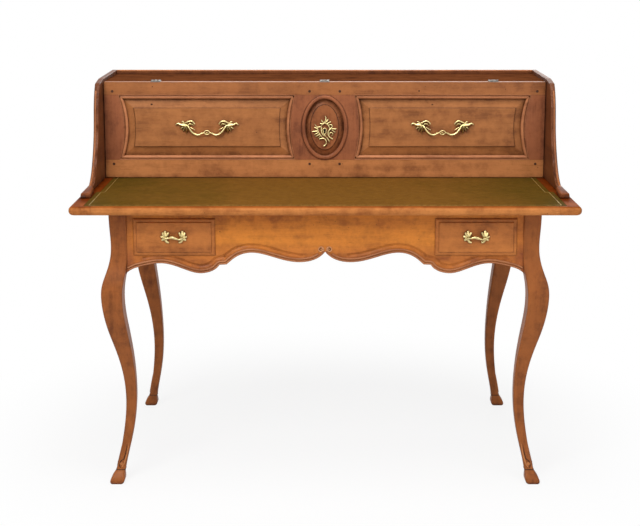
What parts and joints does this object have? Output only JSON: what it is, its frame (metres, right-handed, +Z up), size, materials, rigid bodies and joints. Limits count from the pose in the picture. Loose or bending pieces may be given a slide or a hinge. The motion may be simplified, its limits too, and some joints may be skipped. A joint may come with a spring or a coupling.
{
  "type": "writing desk with lift-up flap",
  "caption": "Walnut writing desk on cabriole legs with a leather top, two small drawers and a low superstructure closed by a lift-up panelled flap.",
  "frame": {"origin": "on the floor, under the middle of the table top", "axes": "+X to the right as seen from the front, +Y to the back, +Z up"},
  "size_m": [1.28, 0.695, 1.027],
  "materials": {
    "walnut": "waxed, warm orange brown",
    "dark_walnut": "waxed, red brown",
    "secondary_wood": "plain, unpolished",
    "peg_wood": "dark dowels",
    "leather": "aged olive, with a gilt line",
    "brass": "cast and gilt, worn",
    "iron": "dull forged"
  },
  "bodies": {
    "desk": {"leg_front_left": "walnut", "leg_front_right": "walnut", "leg_back_left": "walnut", "leg_back_right": "walnut", "front_apron": "walnut", "back_apron": "walnut", "side_apron_left": "walnut", "side_apron_right": "walnut", "top_front_rail": "walnut", "top_back_rail": "walnut", "top_left_end": "walnut", "top_right_end": "walnut", "side_board_left": "walnut", "side_board_right": "walnut", "case_top_board": "walnut", "gallery_back_rim": "walnut", "top_panel": "secondary_wood", "case_back_board": "secondary_wood", "case_bottom_board": "secondary_wood", "case_partition_left": "secondary_wood", "case_partition_right": "secondary_wood", "case_shelf": "secondary_wood", "drawer_left_inner_guide": "secondary_wood", "drawer_left_outer_guide": "secondary_wood", "drawer_right_inner_guide": "secondary_wood", "drawer_right_outer_guide": "secondary_wood", "leather_writing_surface": "leather", "hinge_fixed_leaves": "iron", "hinge_pins": "iron"},
    "flap": {"flap_top_rail": "walnut", "flap_bottom_rail": "walnut", "flap_panel_left": "walnut", "flap_panel_right": "walnut", "flap_oval_panel": "walnut", "flap_stile_left": "dark_walnut", "flap_stile_right": "dark_walnut", "flap_centre_block": "dark_walnut", "flap_oval_moulding": "dark_walnut", "flap_pegs": "peg_wood", "escutcheon": "brass", "lock_case": "iron", "bolt_keeper": "iron", "hinge_flap_leaves": "iron", "flap_pull_left_plates": "brass", "flap_pull_right_plates": "brass"},
    "lock_bolt": {"lock_bolt": "iron"},
    "flap_pull_left": {"flap_pull_left_bail": "brass"},
    "flap_pull_right": {"flap_pull_right_bail": "brass"},
    "drawer_left": {"drawer_left_front": "walnut", "drawer_left_sides": "secondary_wood", "drawer_left_back": "secondary_wood", "drawer_left_bottom": "secondary_wood", "drawer_left_pull_plates": "brass"},
    "drawer_left_pull": {"drawer_left_bail": "brass"},
    "drawer_right": {"drawer_right_front": "walnut", "drawer_right_sides": "secondary_wood", "drawer_right_back": "secondary_wood", "drawer_right_bottom": "secondary_wood", "drawer_right_pull_plates": "brass"},
    "drawer_right_pull": {"drawer_right_bail": "brass"}
  },
  "joints": [
    {"name": "flap_hinge", "type": "hinge", "parent": "desk", "child": "flap", "pos_m": [0, 0.10775, 1.0165], "axis": [-1, 0, 0], "range_deg": [0, 185]},
    {"name": "lock_bolt_slide", "type": "slide", "parent": "flap", "child": "lock_bolt", "axis": [0, 0, -1], "range_m": [0, 0.01]},
    {"name": "flap_pull_left_swing", "type": "hinge", "parent": "flap", "child": "flap_pull_left", "pos_m": [-0.328, 0.08, 0.888], "axis": [-1, 0, 0], "range_deg": [0, 95]},
    {"name": "drawer_left_slide", "type": "slide", "parent": "desk", "child": "drawer_left", "axis": [0, -1, 0], "range_m": [0, 0.22]},
    {"name": "drawer_left_pull_swing", "type": "hinge", "parent": "drawer_left", "child": "drawer_left_pull", "pos_m": [-0.383, -0.303, 0.657], "axis": [-1, 0, 0], "range_deg": [0, 95]},
    {"name": "flap_pull_right_swing", "type": "hinge", "parent": "flap", "child": "flap_pull_right", "pos_m": [0.328, 0.08, 0.888], "axis": [-1, 0, 0], "range_deg": [0, 95]},
    {"name": "drawer_right_slide", "type": "slide", "parent": "desk", "child": "drawer_right", "axis": [0, -1, 0], "range_m": [0, 0.22]},
    {"name": "drawer_right_pull_swing", "type": "hinge", "parent": "drawer_right", "child": "drawer_right_pull", "pos_m": [0.383, -0.303, 0.657], "axis": [-1, 0, 0], "range_deg": [0, 95]}
  ]
}
